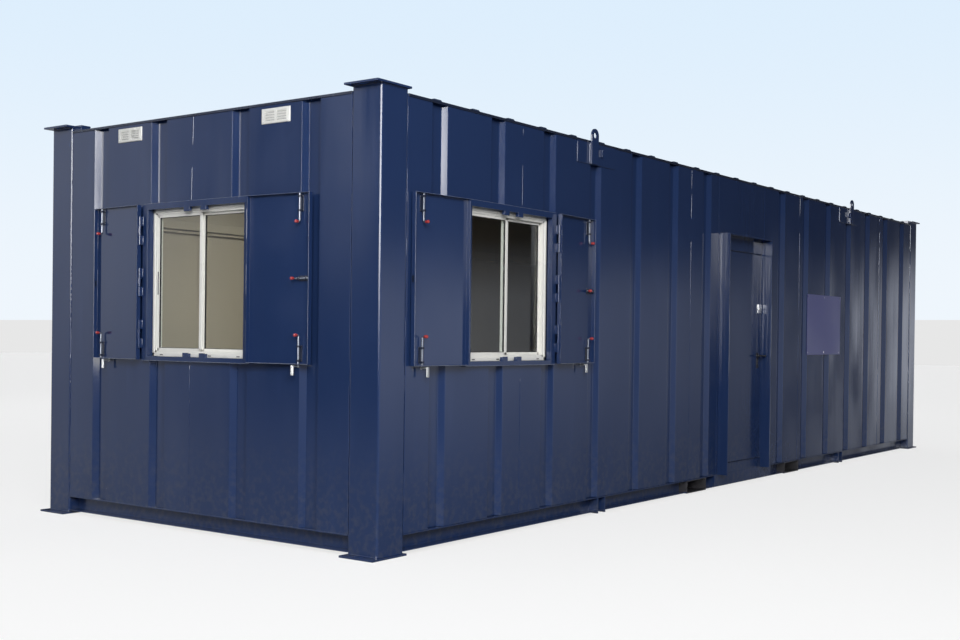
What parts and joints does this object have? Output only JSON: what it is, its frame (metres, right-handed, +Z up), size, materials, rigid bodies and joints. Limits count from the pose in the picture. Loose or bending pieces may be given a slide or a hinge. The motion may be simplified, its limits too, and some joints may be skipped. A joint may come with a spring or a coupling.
{
  "type": "portable site cabin",
  "caption": "Portable steel site cabin with fluted walls, corner posts, door, two windows with hinged shutters, lifting lugs and fork pockets.",
  "frame": {"origin": "on the ground, midway between the four foot plates", "axes": "+X along the cabin away from the glazed end, -Y towards the door side, +Z up"},
  "size_m": [9.8887, 3.163, 2.7369],
  "materials": {
    "navy_paint": "semi-gloss navy paint",
    "dark_paint": "darker navy edge paint",
    "roof_paint": "semi-gloss navy paint, weathered",
    "white_frame": "white powder coat",
    "glazing": "clear float glass",
    "bright_steel": "polished",
    "galvanised": "zinc plated",
    "black_handle": "black",
    "timber_floor": "vinyl-faced board",
    "ceiling_board": "vinyl-faced board",
    "white_vent": "satin",
    "board_sheet": "satin blue-violet",
    "red_knob": "gloss red",
    "lining_board": "satin vinyl-faced board",
    "pocket_steel": "bare primer"
  },
  "bodies": {
    "cabin": {"back_wall": "navy_paint", "base_rail_back": "navy_paint", "base_rail_front": "navy_paint", "base_rail_left": "navy_paint", "base_rail_right": "navy_paint", "cap_plates": "navy_paint", "ceiling": "ceiling_board", "corner_post_back_left": "navy_paint", "corner_post_back_right": "navy_paint", "corner_post_front_left": "navy_paint", "corner_post_front_right": "navy_paint", "door_frame": "navy_paint", "door_surround": "navy_paint", "floor_deck": "timber_floor", "floor_joists": "pocket_steel", "foot_plates": "navy_paint", "fork_pockets": "pocket_steel", "front_wall_left": "navy_paint", "front_wall_over_door": "navy_paint", "front_wall_right": "navy_paint", "left_end_wall": "navy_paint", "lifting_lugs": "navy_paint", "lug_backings": "navy_paint", "notice_board": "board_sheet", "right_end_wall": "navy_paint", "roof_bearers": "timber_floor", "roof_corner_blocks": "navy_paint", "roof_sheet": "roof_paint", "roof_trim": "dark_paint", "shutter_catches": "galvanised", "vents": "white_vent", "window_casing_end": "navy_paint", "window_casing_front": "navy_paint", "window_frame_end": "white_frame", "window_frame_front": "white_frame", "window_glass_end": "glazing", "window_glass_front": "glazing"},
    "door": {"door_leaf": "navy_paint", "door_lock": "bright_steel", "door_handle": "black_handle"},
    "leaf_front_left": {"shutter_front_left": "navy_paint", "shutter_bolts_front_left": "galvanised"},
    "leaf_front_right": {"shutter_front_right": "navy_paint", "shutter_bolts_front_right": "galvanised"},
    "leaf_end_left": {"shutter_end_left": "navy_paint", "shutter_bolts_end_left": "galvanised"},
    "leaf_end_right": {"shutter_end_right": "navy_paint", "shutter_bolts_end_right": "galvanised"}
  },
  "joints": [
    {"name": "door_hinge", "type": "hinge", "parent": "cabin", "child": "door", "pos_m": [-0.484, -1.54, 1.12], "axis": [0, 0, -1], "range_deg": [0, 100]},
    {"name": "leaf_front_left_hinge", "type": "hinge", "parent": "cabin", "child": "leaf_front_left", "pos_m": [-4.117, -1.58, 1.59], "axis": [0, 0, 1], "range_deg": [0, 183.5]},
    {"name": "leaf_front_right_hinge", "type": "hinge", "parent": "cabin", "child": "leaf_front_right", "pos_m": [-3.113, -1.58, 1.59], "axis": [0, 0, -1], "range_deg": [0, 183.5]},
    {"name": "leaf_end_left_hinge", "type": "hinge", "parent": "cabin", "child": "leaf_end_left", "pos_m": [-4.93, 0.494, 1.59], "axis": [0, 0, 1], "range_deg": [0, 183.5]},
    {"name": "leaf_end_right_hinge", "type": "hinge", "parent": "cabin", "child": "leaf_end_right", "pos_m": [-4.93, -0.51, 1.59], "axis": [0, 0, -1], "range_deg": [0, 183.5]}
  ]
}
